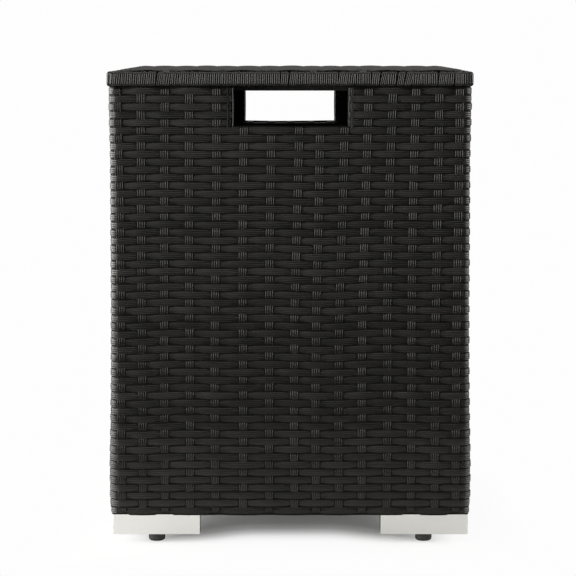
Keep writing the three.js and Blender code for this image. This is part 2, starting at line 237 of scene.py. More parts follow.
# Places of the stakes of the front wall at its middle and how far they lean at its top, in millimetres.
FRONT_STAKES = [
    (-192.0, -3.5), (-168.4, 0.5), (-143.3, 2.5), (-114.5, 1.0), (-85.3, 2.5),
    (-54.1, 3.0), (-24.1, 3.6), (4.9, 6.0), (29.6, 4.4), (55.7, 6.4),
    (81.8, 6.4), (109.9, 5.6), (137.5, 4.0), (165.0, 2.5), (188.9, 1.5),
]
PER_SIDE = len(FRONT_STAKES)
# Stakes of the other walls, in millimetres: their spacing, how far each is off its place, and how much
# the first one leans and each next one more or less. Then how far the front's and the others bow.
STAKE_SPACING = 27.2
STAKE_OFF, STAKE_OFF_MOST = 1.4, 3
FIRST_LEAN, NEXT_LEAN, LEAN_MOST = 1.0, 0.9, 5
FRONT_BOW, SIDE_BOW = 0.6, 0.8
# Above this share of the wall's height the stakes lean, ever more by this power.
LEAN_FROM, LEAN_POWER = 0.45, 1.3


def side_stakes(side):
    """Places, leans and bows of a wall's stakes."""
    if side == 0:
        return [(place * MM, lean * MM, rng.normal(0, FRONT_BOW) * MM) for place, lean in FRONT_STAKES]
    even = (np.arange(PER_SIDE) - (PER_SIDE - 1) / 2) * STAKE_SPACING
    off = np.clip(rng.normal(0, STAKE_OFF, PER_SIDE), -STAKE_OFF_MOST, STAKE_OFF_MOST)
    leans = rng.normal(0, FIRST_LEAN) + np.cumsum(rng.normal(0, NEXT_LEAN, PER_SIDE))
    leans = np.clip(leans - leans.mean() / 2, -LEAN_MOST, LEAN_MOST)
    return [(place * MM, lean * MM, rng.normal(0, SIDE_BOW) * MM) for place, lean in zip(even + off, leans)]


stakes = [(side, *stake) for side in range(len(SIDES)) for stake in side_stakes(side)]


def stake_place(number, z):
    """Distance along the outline of a stake at height z."""
    side, place, lean, bow = stakes[number]
    level = (np.asarray(z) - WALL_LOW) / (WALL_HIGH - WALL_LOW)
    leaning = np.clip((level - LEAN_FROM) / (1 - LEAN_FROM), 0, 1) ** LEAN_POWER
    return wall.distance_of(side, place + lean * leaning + bow * np.sin(math.pi * 2 * level))


def waist(z):
    """How far the walls draw in at height z."""
    level = (np.asarray(z) - WALL_LOW) / (WALL_HIGH - WALL_LOW)
    return np.interp(level, WAIST_LEVELS, WAIST_DEPTHS) * MM


def lies_over(stake, row):
    """Whether the stake lies over the row."""
    return (stake + ROWS - 1 - row) % 2 == 0


row_z = WALL_LOW + (np.arange(ROWS) + 0.5) * PITCH
# The rows wander up and down in waves: their number, where they start, how that drifts per metre of
# height, and their size in millimetres.
WANDER_WAVES = 14
WANDER_START, WANDER_DRIFT, WANDER_SIZE = 6.28, 5, 0.28
wander_waves = [
    (waves, rng.uniform(0, WANDER_START), rng.normal(0, WANDER_DRIFT), rng.normal(0, WANDER_SIZE) * MM)
    for waves in range(1, WANDER_WAVES + 1)
]

# Steps of the arc by which a strand turns into the wall, and of its run inwards.
ARC_STEPS, RUN_STEPS = 5, 4


def turn_in(point, tangent, normal, radius, reach, begin=0.0):
    """Points and normals that leave a wall at point, turned by begin, turn on and run inwards."""
    angle = np.linspace(begin, math.pi / 2, ARC_STEPS + 1)[1:]
    centre = point - radius * (math.cos(begin) * normal + math.sin(begin) * tangent)
    arc_normal = np.outer(np.cos(angle), normal) + np.outer(np.sin(angle), tangent)
    arc = centre + radius * arc_normal
    far = np.linspace(0, reach, RUN_STEPS + 1)[1:]
    run = arc[-1] - np.outer(far, normal)
    return np.concatenate([arc, run]), np.concatenate([arc_normal, np.repeat(tangent[None], len(far), 0)])


# A row lies low this far past the middle of a stake that it dives under, and high this far before the
# middle of the next. This share of its way between them is eased.
LOW_RUN, HIGH_RUN = 3.6 * MM, 3.0 * MM
EASED = 0.45
# Round a corner it lies high: how far into the arc this starts, over what length it comes, how high it
# lies and how much wider it gets.
CORNER_START, CORNER_BLEND = 1.2 * MM, 4.5 * MM
CORNER_LIFT, CORNER_WIDER = 0.9, 0.05
# Where it dives it is squeezed: where this starts to fade, over what length, and by what share.
SQUEEZE_RUN, SQUEEZE_BLEND, SQUEEZE = 3 * MM, 9 * MM, 0.17


def row_wave(distance, row, z):
    """How far out of the weave's middle a row lies at each distance along the outline, and its taper."""
    places = np.array([stake_place(number, z) for number in range(len(stakes))])
    over = lies_over(np.arange(len(stakes)), row)
    around = np.concatenate([places[-2:] - wall.total, places, places[:2] + wall.total])
    dives = np.concatenate([over[-2:], over, over[:2]])
    before = np.clip(np.searchsorted(around, distance % wall.total, side="right") - 1, 0, len(around) - 2)
    from_stake = distance % wall.total - around[before]
    spacing = around[before + 1] - around[before]
    from_under = np.where(dives[before], from_stake, spacing - from_stake)
    share = np.clip((from_under - LOW_RUN) / (spacing - LOW_RUN - HIGH_RUN), 0, 1)
    share = (1 - EASED) * share + EASED * share * share * (3 - 2 * share)
    arc_half = (wall.side - wall.straight) / 2
    from_corner = np.abs(distance % wall.side - wall.straight - arc_half)
    turning = np.clip((arc_half - CORNER_START - from_corner) / CORNER_BLEND, 0, 1)
    share = np.maximum(share, CORNER_LIFT * turning)
    narrow = np.maximum(np.clip((from_under - SQUEEZE_RUN) / SQUEEZE_BLEND, 0, 1), turning)
    taper = 1 - SQUEEZE * (1 - narrow) ** 2 + CORNER_WIDER * turning
    return ROW_UNDER + (ROW_OVER - ROW_UNDER) * share, taper


# Step of a row's points, and how far before a corner they start to be twice as close.
ROW_STEP = 3.4 * MM
CORNER_LEAD = 2 * MM
# A row's end beside a slot: how far before the edge it turns in, the turn's radius, how far it runs in,
# and the length over which it goes to the depth of its end, for even and for odd rows.
END_BEFORE, END_RADIUS, END_REACH, END_BLEND = 3.4 * MM, 2.4 * MM, 19 * MM, 10 * MM
END_DEPTHS = (-2.9 * MM, -2.2 * MM)
# The lowest and the highest row lie deeper, where the walls round over.
ROW_SINKS = {0: 1.3 * MM, ROWS - 1: 0.7 * MM}
# How uneven the rows' heights are, in millimetres. Their tilt: its size, its waves round the walls, its
# shift from row to row, and how uneven it is.
ROW_UNEVEN = 0.06
TILT_SIZE, TILT_WAVES, TILT_SHIFT, TILT_UNEVEN = 0.03, 37, 2.1, 0.02


def row_spans(z):
    """Where a row runs along the outline, and whether it ends beside slots."""
    cuts = [
        (wall.distance_of(side, -half), wall.distance_of(side, half))
        for side, (half, sill) in SLOTS.items()
        if z > sill
    ]
    if not cuts:
        return [(0.0, wall.total, False)]
    starts = [after for _, after in cuts]
    stops = [before for before, _ in cuts[1:]] + [cuts[0][0] + wall.total]
    return [(start + END_BEFORE, stop - END_BEFORE, True) for start, stop in zip(starts, stops)]


def row_points(start, stop, open_ended):
    """Distances along the outline of a row's points, twice as close round the corners."""
    count = int((stop - start) / ROW_STEP)
    even = np.linspace(start, stop, count + (1 if open_ended else 0), endpoint=open_ended)
    extra = even[even % wall.side > wall.straight - CORNER_LEAD] + ROW_STEP / 2
    return np.sort(np.concatenate([even, extra[extra < stop]]))


def row_rise(distance, row, z):
    """How far a row wanders up, most at half the wall's height."""
    phase = 2 * math.pi * distance / wall.total
    rise = sum(size * np.sin(waves * phase + begin + z * drift) for waves, begin, drift, size in wander_waves)
    return rise * math.sin(math.pi * (row + 0.5) / ROWS) + rng.normal(0, ROW_UNEVEN) * MM


def with_ends(centre, out, depth, height, taper, tilt):
    """A row's points and values with its two ends turned into slots."""
    ends = []
    for at, sense in ((0, -1), (-1, 1)):
        direction = np.array([-out[at][1], out[at][0]]) * sense
        begin = math.atan2(depth[at - sense] - depth[at], ROW_STEP)
        radius = END_RADIUS / (1 - math.sin(begin))
        ends.append(turn_in(centre[at], direction, out[at], radius, END_REACH, begin))
    (head, head_out), (tail, tail_out) = ends
    added = len(head), len(tail)
    return (
        np.concatenate([head[::-1], centre, tail]),
        np.concatenate([head_out[::-1], out, tail_out]),
        np.pad(height, added, mode="edge"),
        np.pad(taper, added, constant_values=1),
        np.pad(tilt, added, constant_values=0),
    )


def add_rows(bundles):
    """The rows, which go round the walls over and under the stakes."""
    for row, z in enumerate(row_z):
        for start, stop, open_ended in row_spans(z):
            distance = row_points(start, stop, open_ended)
            offset, taper = row_wave(distance, row, z)
            height = z + row_rise(distance, row, z)
            flat, out = wall.at(distance)
            depth = -SKIN - waist(z) - ROW_SINKS.get(row, 0.0) + offset
            if open_ended:
                from_end = np.minimum(distance - start, stop - distance)
                ease = 1 - np.clip(1 - from_end / END_BLEND, 0, 1) ** 2
                depth = depth * ease + END_DEPTHS[row % 2] * (1 - ease)
                taper = taper * ease + 1 - ease
            centre = flat + out * depth[:, None]
            waves = 2 * math.pi * distance / wall.total * TILT_WAVES
            tilt = TILT_SIZE * np.sin(waves + row * TILT_SHIFT) + rng.normal(0, TILT_UNEVEN)
            if open_ended:
                centre, out, height, taper, tilt = with_ends(centre, out, depth, height, taper, tilt)
            points = np.column_stack([centre, height])
            normals = np.column_stack([out, np.zeros(len(out))])
            bundles[row * len(bundles) // ROWS].add(
                points, normals, ROW_WIDE, loop=not open_ended, twist=tilt, taper=taper
            )


# Stakes: points to a row, how far from the wall's top and bottom they turn in, the turn's radius, how
# far they run in, the length over which they go to the depth of their ends, and their twist.
STAKE_STEPS = 5
STAKE_BEFORE, STAKE_RADIUS, STAKE_REACH = 3.0 * MM, 1.7 * MM, 18 * MM
STAKE_BLEND, STAKE_END_DEPTH = 5 * MM, -1.3 * MM
STAKE_TWIST = 0.012
# A stake ends at the sill of a slot that it comes this near to, with the share of its lean up there.
SLOT_NEAR, LEAN_AT_SLOT = 2 * MM, 0.8


def add_stakes(bundles):
    """The stakes, which go up the walls and turn in at the bottom and at the top or a sill."""
    up = np.array([0, 0, 1.0])
    for number, (side, place, lean, _) in enumerate(stakes):
        top = WALL_HIGH
        if side in SLOTS and abs(place + lean * LEAN_AT_SLOT) < SLOTS[side][0] + SLOT_NEAR:
            top = SLOTS[side][1]
        z = np.arange(WALL_LOW + STAKE_BEFORE, top - STAKE_BEFORE, PITCH / STAKE_STEPS)
        z = np.append(z, top - STAKE_BEFORE)
        flat, out = wall.at(stake_place(number, z))
        level = (z - WALL_LOW) / PITCH - 0.5
        row = np.floor(level + 0.5).astype(int)
        swing = np.where(lies_over(number, row), 1.0, -1.0) * np.cos(math.pi * (level - row))
        depth = -SKIN - waist(z) + STAKE_MIDDLE + STAKE_SWING * swing
        ease = np.clip(np.minimum(z - z[0], z[-1] - z) / STAKE_BLEND, 0, 1)
        depth = depth * ease + STAKE_END_DEPTH * (1 - ease)
        face = np.column_stack([flat + out * depth[:, None], z])
        face_out = np.column_stack([out, np.zeros(len(out))])
        foot, foot_out = turn_in(face[0], -up, face_out[0], STAKE_RADIUS, STAKE_REACH)
        head, head_out = turn_in(face[-1], up, face_out[-1], STAKE_RADIUS, STAKE_REACH)
        points = np.concatenate([foot[::-1], face, head])
        normals = np.concatenate([foot_out[::-1], face_out, head_out])
        twist = rng.normal(0, STAKE_TWIST)
        bundles[side].add(points, normals, STAKE_WIDE, STAKE_SECTION, twist=twist)


# Strands up the sides of a slot: their points, how far they start below the sill and stop below the
# wall's top, and how far they bow.
SLOT_POINTS = 12
SLOT_BELOW, SLOT_SHORT, SLOT_BOW = 4 * MM, 1 * MM, 0.4 * MM
# The one beside the slot and the one in its edge: distance from the edge, depth, width, and the tangent
# of the angle by which they turn into the slot. The distance of the second differs by side and end.
SLOT_BESIDE = (5.0 * MM, 1.9 * MM, 3.4 * MM, 0.35)
SLOT_EDGE = (3.4 * MM, 2.4 * MM, 1)
SLOT_EDGE_AWAY = {(0, -1): -0.2 * MM, (0, 1): 1.6 * MM, (2, -1): 0.6 * MM, (2, 1): 0.6 * MM}


def add_slot_edges(bundles):
    """Two narrow strands up each side of a slot: one beside it, one turned into its edge."""
    for side, (half, sill) in SLOTS.items():
        z = np.linspace(sill - SLOT_BELOW, WALL_HIGH - SLOT_SHORT, SLOT_POINTS)
        bow = np.sin(math.pi * np.linspace(0, 1, len(z))) * SLOT_BOW
        for sense in (-1, 1):
            for away, depth, width, turned in (SLOT_BESIDE, (SLOT_EDGE_AWAY[side, sense], *SLOT_EDGE)):
                place = sense * (half + away - bow * turned)
                flat, out = wall.at(wall.distance_of(side, place))
                along = np.stack([-out[:, 1], out[:, 0]], 1)
                facing = out - along * sense * turned
                points = np.column_stack([flat - out * depth, z])
                normals = np.column_stack([facing, np.zeros(len(z))])
                bundles[side].add(points, normals, width, STAKE_SECTION, thick=THIN)


# Rows on the returns of the walls: how many, how far in the first one lies, their width, the step of
# their points, how far they stop before a corner and a slot, and the depth and swing of their wave.
RETURN_ROWS = 2
RETURN_INSET, RETURN_WIDE, RETURN_STEP = 6.0 * MM, 8.4 * MM, 4.5 * MM
RETURN_SHORT, RETURN_FROM_SLOT = 1 * MM, 3 * MM
RETURN_DEPTH, RETURN_SWING = 1.25 * MM, 0.35 * MM


def add_returns(bundles):
    """The rows that run under the bottom rails and over the top rails, on the returns of the walls."""
    for level, up in ((WALL_LOW, -1.0), (WALL_HIGH, 1.0)):
        for row in range(RETURN_ROWS):
            inset = RETURN_INSET + row * ROW_WIDE
            for side in range(len(SIDES)):
                half = HALF - inset - RETURN_SHORT
                spans = [(-half, half)]
                if up > 0 and side in SLOTS:
                    edge = SLOTS[side][0] + RETURN_FROM_SLOT
                    spans = [(-half, -edge), (edge, half)]
                for start, stop in spans:
                    x = np.arange(start, stop, RETURN_STEP)
                    y = -HALF + inset
                    wave = np.cos(math.pi * (x / (STAKE_SPACING * MM) + row + side))
                    turn = side * math.pi / 2
                    points = np.column_stack([
                        x * math.cos(turn) - y * math.sin(turn),
                        x * math.sin(turn) + y * math.cos(turn),
                        level - up * (RETURN_DEPTH - wave * RETURN_SWING),
                    ])
                    normals = np.tile([0, 0, up], (len(x), 1))
                    bundles[side].add(points, normals, RETURN_WIDE, thick=THIN)


# The rows make this many pieces, from the bottom up, and the stakes one a side.
ROW_PIECES = 4
row_bundles = [Bundle() for _ in range(ROW_PIECES)]
add_rows(row_bundles)
stake_bundles = [Bundle() for _ in SIDES]
add_stakes(stake_bundles)
add_slot_edges(stake_bundles)
add_returns(stake_bundles)
WALL_NODES = [f"woven_wall_{side}" for side in SIDES]
weave_parts = [bundle.build(f"wall_rows_{number + 1}") for number, bundle in enumerate(row_bundles)]
weave_parts += [bundle.build(f"wall_stakes_{side}") for side, bundle in zip(SIDES, stake_bundles)]

# The lid's binding. Its profile: radius of its edges, how far it stands in from the lid's lower, upper
# and outer faces, how far it reaches in below and on top, how much it sinks there, and its steps.
lid_outline = Outline(LID_HALF, LID_CORNER)
BIND_RADIUS = 3.8 * MM
BIND_LOW, BIND_HIGH, BIND_SKIN = 0.8 * MM, 0.7 * MM, 0.8 * MM
BIND_UNDER, BIND_OVER, BIND_SINK = 28 * MM, 15 * MM, 0.9 * MM
BIND_ARC_STEPS, BIND_FLAT_STEPS = 5, 3
# Its strands: how many, and their width as a share of their pitch. In millimetres, how much the lean
# changes from one to the next, the most it can be, a usual gap and the widest usual one, and how
# unevenly they lie.
BIND_COUNT = 176
BIND_SPREAD = 1.07
BIND_LEAN, BIND_LEAN_MOST = 0.2, 1.2
BIND_GAP, BIND_GAP_MOST = 0.06, 0.3
BIND_UNEVEN = 0.12
# How far a leaning strand's ends part for each millimetre of its lean, and the share of a lean that the
# next strand takes.
LEAN_SPREAD, LEAN_SHARED = 1.3, 0.55
# Round a corner strands reach in no further than this share of its radius.
CORNER_REACH = 0.95

# Places along the front edge where a strand leans and leaves a wider gap at its left, with how much, in
# millimetres.
FRONT_GAPS = [
    (-145, 1.3, 1.4), (-107, 0.8, 0.5), (-59, 0.4, 0.4), (-6, 1.2, 1.0), (4, 1.0, 1.7), (58, 1.8, 0.9),
    (95, 1.6, 0.9), (105, 2.0, 1.8), (123, 2.0, 1.8), (133, 2.0, 1.6), (170, 1.6, 1.7), (188, 0.3, 1.4),
]
# Wider gaps on each other side: how many, how far from its middle in metres, and the least and the most
# of their lean and width in millimetres.
OTHER_GAPS, OTHER_REACH = 7, 0.18
OTHER_LEAN, OTHER_GAP = (1.0, 2.6), (0.5, 1.8)


def binding_profile():
    """Depth in from the edge and height, from underneath, round the edge and onto the top."""
    low, high = LID_LOW + BIND_LOW, LID_HIGH - BIND_HIGH
    radius = BIND_RADIUS
    arc = radius - BIND_SKIN
    angles = np.linspace(0, math.pi / 2, BIND_ARC_STEPS + 1)[1:]
    points, normals = [], []
    for depth in np.linspace(BIND_UNDER, radius, BIND_FLAT_STEPS + 1):
        points.append((depth, low))
        normals.append((0, -1))
    for angle in angles:
        points.append((radius - arc * math.sin(angle), low + arc * (1 - math.cos(angle))))
        normals.append((math.sin(angle), -math.cos(angle)))
    for height in np.linspace(low + arc, high - arc, BIND_FLAT_STEPS + 1)[1:]:
        points.append((BIND_SKIN, height))
        normals.append((1, 0))
    for angle in angles:
        points.append((radius - arc * math.cos(angle), high - arc * (1 - math.sin(angle))))
        normals.append((math.cos(angle), math.sin(angle)))
    for depth in np.linspace(radius, BIND_OVER, BIND_FLAT_STEPS + 1)[1:]:
        points.append((depth, high - BIND_SINK * (depth - radius) / (BIND_OVER - radius)))
        normals.append((0, 1))
    return np.array(points), np.array(normals)


def binding_gaps(pitch):
    """The lean of each strand of the binding and the gap beside it."""
    lean = np.cumsum(rng.normal(0, BIND_LEAN, BIND_COUNT))
    lean = np.clip(lean - lean.mean(), -BIND_LEAN_MOST, BIND_LEAN_MOST) * MM
    gap = np.clip(rng.exponential(BIND_GAP, BIND_COUNT), 0, BIND_GAP_MOST) * MM

    def widen(number, more, wider):
        lean[number] += more * MM
        lean[(number + 1) % BIND_COUNT] += more * LEAN_SHARED * MM
        gap[number] += wider * MM

    for place, more, wider in FRONT_GAPS:
        widen(int(lid_outline.distance_of(0, place * MM) / pitch) % BIND_COUNT, more, wider)
    for side in range(1, len(SIDES)):
        for place in rng.uniform(-OTHER_REACH, OTHER_REACH, OTHER_GAPS):
            number = int(round(lid_outline.distance_of(side, place) / pitch)) % BIND_COUNT
            widen(number, rng.uniform(*OTHER_LEAN), rng.uniform(*OTHER_GAP))
    return lean, gap


def add_binding(bundle):
    """Short strands side by side, each round the lid's edge from underneath to the top."""
    pitch = lid_outline.total / BIND_COUNT
    lean, gap = binding_gaps(pitch)
    profile, normals = binding_profile()
    run = np.concatenate([[0], np.cumsum(np.linalg.norm(np.diff(profile, axis=0), axis=1))])
    # Strands lean where they pass the edge's upright face.
    face = np.flatnonzero(normals[:, 0] == 1)
    upright = run[face[-1]] - run[face[0]] + 2 * BIND_RADIUS
    share = np.clip((run - run[face].mean()) / upright, -0.5, 0.5)
    across, rise = BINDING_SECTION
    depth, height = profile[:, :1], profile[:, 1:]
    outwards, upwards = normals[:, :1], normals[:, 1:]
    for number in range(BIND_COUNT):
        middle = (number + 0.5) * pitch + gap[number] / 2 + lean[number] * share * LEAN_SPREAD
        distance = middle[:, None] + across[None, :] * (pitch * BIND_SPREAD - gap[number])
        flat, out = lid_outline.at(distance)
        on_arc = distance % lid_outline.side > lid_outline.straight
        inward = np.where(on_arc, np.minimum(depth, LID_CORNER * CORNER_REACH), depth)
        lift = rise[None, :] * THICK + rng.normal(0, BIND_UNEVEN) * MM
        x, y = (flat[..., axis] + out[..., axis] * (outwards * lift - inward) for axis in (0, 1))
        bundle.add_rings(np.stack([x, y, height + upwards * lift], 2))


# The lid's woven top: how far in from the lid's edge it starts, how far its strands go on under the
# binding, how many rows and stakes, and its height over the lid's solid and its swing.
FIELD_INSET, FIELD_BEYOND = 11.0 * MM, 2 * MM
FIELD_ROWS, FIELD_STAKES = 45, 15
FIELD_UP, FIELD_SWING = 0.9 * MM, 0.75 * MM
FIELD_HALF = LID_HALF - FIELD_INSET
FIELD_PITCH = 2 * FIELD_HALF / FIELD_ROWS
# Spacing of its stakes, and in millimetres how far each is off its place and how far it leans.
FIELD_SPACING = 27.0 * MM
FIELD_OFF, FIELD_LEAN = 1.1, 1.6
# At the edge its strands fall by this much, rows and stakes over their own lengths, and stakes fall more.
FALL, ROW_FALL_REACH, STAKE_FALL_REACH, STAKE_FALL_MORE = 1.9 * MM, 6 * MM, 8 * MM, 1.5
# Rows: width as a share of their pitch, step of their points, lift and swing as shares of the weave's
# swing, and how sharply they bend.
FIELD_ROW_WIDE, FIELD_ROW_STEP = 0.985, 3.4 * MM
ROW_LIFT, ROW_SWING, ROW_BEND = 0.12, 0.98, 0.8
# They are squeezed this near to a stake that they dive under, this sharply and by this share.
DIVE_NEAR, DIVE_POWER, DIVE_SQUEEZE = 8.2 * MM, 4, 0.28
# They wander: size, radians per metre and shift from row to row. Their tilt has the same, and differs.
FIELD_WANDER = ((0.45 * MM, 31, 1.3), (0.25 * MM, 83, 1))
FIELD_TILT, FIELD_TILT_RATE, FIELD_TILT_UNEVEN = 0.05, 60, 0.04
# Stakes: steps to a row, lift and swing as shares of the weave's swing, and twist.
FIELD_STAKE_STEPS = 4
STAKE_LIFT, STAKE_SHARE, FIELD_STAKE_TWIST = 0.05, 0.95, 0.02


def edge_fall(place, reach):
    """How far the top's strands fall at a place that is measured from its middle."""
    share = np.clip((np.abs(place) - (FIELD_HALF - reach)) / reach, 0, 1)
    return FALL * share * share


def add_field_rows(bundle, stake_x):
    """The top's rows, which run across it."""
    numbers = np.arange(FIELD_STAKES)
    for row in range(FIELD_ROWS):
        y = -FIELD_HALF + (row + 0.5) * FIELD_PITCH
        x = np.arange(-FIELD_HALF - FIELD_BEYOND, FIELD_HALF + FIELD_BEYOND, FIELD_ROW_STEP)
        at = stake_x(numbers, y)
        over = np.where((numbers + row) % 2 == 0, -1.0, 1.0)
        at = np.concatenate([[at[0] - FIELD_SPACING], at, [at[-1] + FIELD_SPACING]])
        over = np.concatenate([[-over[0]], over, [-over[-1]]])
        before = np.clip(np.searchsorted(at, x) - 1, 0, len(at) - 2)
        after = before + 1
        share = np.clip((x - at[before]) / (at[after] - at[before]), 0, 1)
        wave = np.cos(math.pi * share) * np.where(over[before] > over[after], 1, -1)
        wave = np.sign(wave) * np.abs(wave) ** ROW_BEND
        from_under = np.where(over[before] < over[after], x - at[before], at[after] - x)
        dive = np.exp(-((from_under / DIVE_NEAR) ** DIVE_POWER))
        wander = sum(size * np.sin(x * rate + row * shift) for size, rate, shift in FIELD_WANDER)
        z = LID_HIGH + FIELD_UP + FIELD_SWING * (ROW_LIFT + ROW_SWING * wave) - edge_fall(x, ROW_FALL_REACH)
        points = np.column_stack([x, y + wander, z])
        normals = np.tile([0, 0, 1.0], (len(x), 1))
        tilt = FIELD_TILT * np.sin(x * FIELD_TILT_RATE + row * TILT_SHIFT) + rng.normal(0, FIELD_TILT_UNEVEN)
        taper = 1 - DIVE_SQUEEZE * dive
        bundle.add(points, normals, FIELD_PITCH * FIELD_ROW_WIDE, twist=tilt, taper=taper)


def add_field_stakes(bundle, stake_x):
    """The top's stakes, which run from front to back."""
    step = FIELD_PITCH / FIELD_STAKE_STEPS
    for number in range(FIELD_STAKES):
        y = np.arange(-FIELD_HALF - FIELD_BEYOND, FIELD_HALF + FIELD_BEYOND, step)
        level = (y + FIELD_HALF) / FIELD_PITCH - 0.5
        row = np.floor(level + 0.5).astype(int)
        over = np.where((number + row) % 2 == 0, 1.0, -1.0)
        swing = FIELD_SWING * (STAKE_LIFT + STAKE_SHARE * over * np.cos(math.pi * (level - row)))
        z = LID_HIGH + FIELD_UP + swing - edge_fall(y, STAKE_FALL_REACH) * STAKE_FALL_MORE
        points = np.column_stack([stake_x(number, y), y, z])
        normals = np.tile([0, 0, 1.0], (len(y), 1))
        twist = rng.normal(0, FIELD_STAKE_TWIST)
        bundle.add(points, normals, STAKE_WIDE, STAKE_SECTION, twist=twist)


def add_field(rows_bundle, stakes_bundle):
    """The woven top: rows and stakes that dive under the binding at the edge."""
    even = (np.arange(FIELD_STAKES) - FIELD_STAKES // 2) * FIELD_SPACING
    places = even + rng.normal(0, FIELD_OFF, FIELD_STAKES) * MM
    lean = rng.normal(0, FIELD_LEAN, FIELD_STAKES) * MM

    def stake_x(number, y):
        return places[number] + lean[number] * y / FIELD_HALF

    add_field_rows(rows_bundle, stake_x)
    add_field_stakes(stakes_bundle, stake_x)


binding_bundle, field_rows, field_stakes = Bundle(), Bundle(), Bundle()
add_binding(binding_bundle)
add_field(field_rows, field_stakes)
lid_binding = binding_bundle.build("lid_binding_strands")
lid_rows = field_rows.build("lid_top_rows")
lid_stakes = field_stakes.build("lid_top_stakes")

# The feet are copies of the CAD's, with their sharp edges rounded. Angles are in degrees.
WELD = 2e-6
FLAT_ANGLE, SHARP_ANGLE = 1, 35
FOOT_ROUND, ROUND_STEPS, ROUND_PROFILE = 0.8 * MM, 2, 0.5
CORNERS = ("front_left", "front_right", "back_right", "back_left")


def rounded_copy(cad_node, name, radius):
    """A copy of a CAD node's mesh with its sharp edges rounded."""
    work = bmesh.new()
    work.from_mesh(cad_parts[cad_node].data)
    bmesh.ops.remove_doubles(work, verts=work.verts, dist=WELD)
    flat = math.radians(FLAT_ANGLE)
    bmesh.ops.dissolve_limit(work, angle_limit=flat, verts=work.verts, edges=work.edges)
    least = math.radians(SHARP_ANGLE)
    sharp = [edge for edge in work.edges if len(edge.link_faces) == 2 and edge.calc_face_angle(0) > least]
    bmesh.ops.bevel(
        work, geom=sharp, offset=radius, offset_type="OFFSET", segments=ROUND_STEPS, profile=ROUND_PROFILE,
        affect="EDGES", clamp_overlap=True,
    )
    mesh = bpy.data.meshes.new(name)
    work.to_mesh(mesh)
    work.free()
    return add_object(name, mesh)


foot_parts = {
    corner: rounded_copy(f"foot_{corner}", f"foot_shell_{corner}", FOOT_ROUND) for corner in CORNERS
}


# Helpers for materials. A stretch is how much faster a noise changes along x, y and z.
EVEN = (1, 1, 1)
NOISE_ROUGH = 0.55


def new_material(name):
    made = bpy.data.materials.new(name)
    made.use_nodes = True
    tree = made.node_tree
    tree.nodes.clear()
    out = tree.nodes.new("ShaderNodeOutputMaterial")
    shader = tree.nodes.new("ShaderNodeBsdfPrincipled")
    tree.links.new(shader.outputs["BSDF"], out.inputs["Surface"])
    return made, tree, shader


def node(tree, kind, inputs=None, **settings):
    """A new node with these settings, and its inputs linked to sockets or set to values."""
    made = tree.nodes.new(kind)
    for key, value in settings.items():
        setattr(made, key, value)
    for key, value in (inputs or {}).items():
        if isinstance(value, bpy.types.NodeSocket):
            tree.links.new(value, made.inputs[key])
        else:
            made.inputs[key].default_value = value
    return made


def noise(tree, scale, stretch, detail):
    where = node(tree, "ShaderNodeTexCoord")
    mapping = node(tree, "ShaderNodeMapping", {"Vector": where.outputs["Object"], "Scale": stretch})
    made = node(tree, "ShaderNodeTexNoise", {
        "Vector": mapping.outputs["Vector"], "Scale": scale, "Detail": detail, "Roughness": NOISE_ROUGH,
    })
    return made.outputs["Fac"]


def ramp(tree, value, stops):
    made = node(tree, "ShaderNodeValToRGB", {"Fac": value})
    elements = made.color_ramp.elements
    elements[0].position, elements[0].color = stops[0][0], (*stops[0][1], 1)
    elements[1].position, elements[1].color = stops[-1][0], (*stops[-1][1], 1)
    for position, color in stops[1:-1]:
        elements.new(position).color = (*color, 1)
    return made.outputs["Color"]


def remap(tree, value, low, high):
    made = node(tree, "ShaderNodeMapRange", {"Value": value, "To Min": low, "To Max": high})
    return made.outputs["Result"]


# Sockets of a mix node for colours: the share, the two colours, and what comes out.
MIX_SHARE, MIX_A, MIX_B, MIX_OUT = 0, 6, 7, 2


def mix(tree, kind, share, a, b):
    inputs = {MIX_SHARE: share, MIX_A: a, MIX_B: b}
    return node(tree, "ShaderNodeMix", inputs, data_type="RGBA", blend_type=kind).outputs[MIX_OUT]


def bump(tree, height, strength, distance, shader):
    made = node(tree, "ShaderNodeBump", {"Height": height, "Strength": strength, "Distance": distance})
    tree.links.new(made.outputs["Normal"], shader.inputs["Normal"])


def grey(value):
    return value, value, value


def finish_look(tree, shader, color, rough, rough_range):
    """Links a shader's colour, and its roughness to a noise between two values."""
    tree.links.new(color, shader.inputs["Base Color"])
    tree.links.new(remap(tree, rough, *rough_range), shader.inputs["Roughness"])


# Colours of the wicker from the darkest strand to the lightest, and how its blotches and its fine
# lengthwise lines change them, each at its places on a ramp.
WICKER_TONES = (
    (0.0, (0.0045, 0.0043, 0.0041)),
    (0.5, (0.0066, 0.0063, 0.0057)),
    (1.0, (0.0105, 0.0099, 0.0088)),
)
BLOTCHES = ((0.35, grey(0.75)), (0.7, (1.25, 1.22, 1.16)))
LINES = ((0.3, grey(0.8)), (0.7, (1.3, 1.3, 1.28)))
LINE_SCALE, BLOTCH_SCALE, WICKER_DETAIL = 70, 26, 2
WICKER_ROUGH, WICKER_SHINE = (0.28, 0.36), 0.3
LINE_BUMP = (0.1, 0.1 * MM)


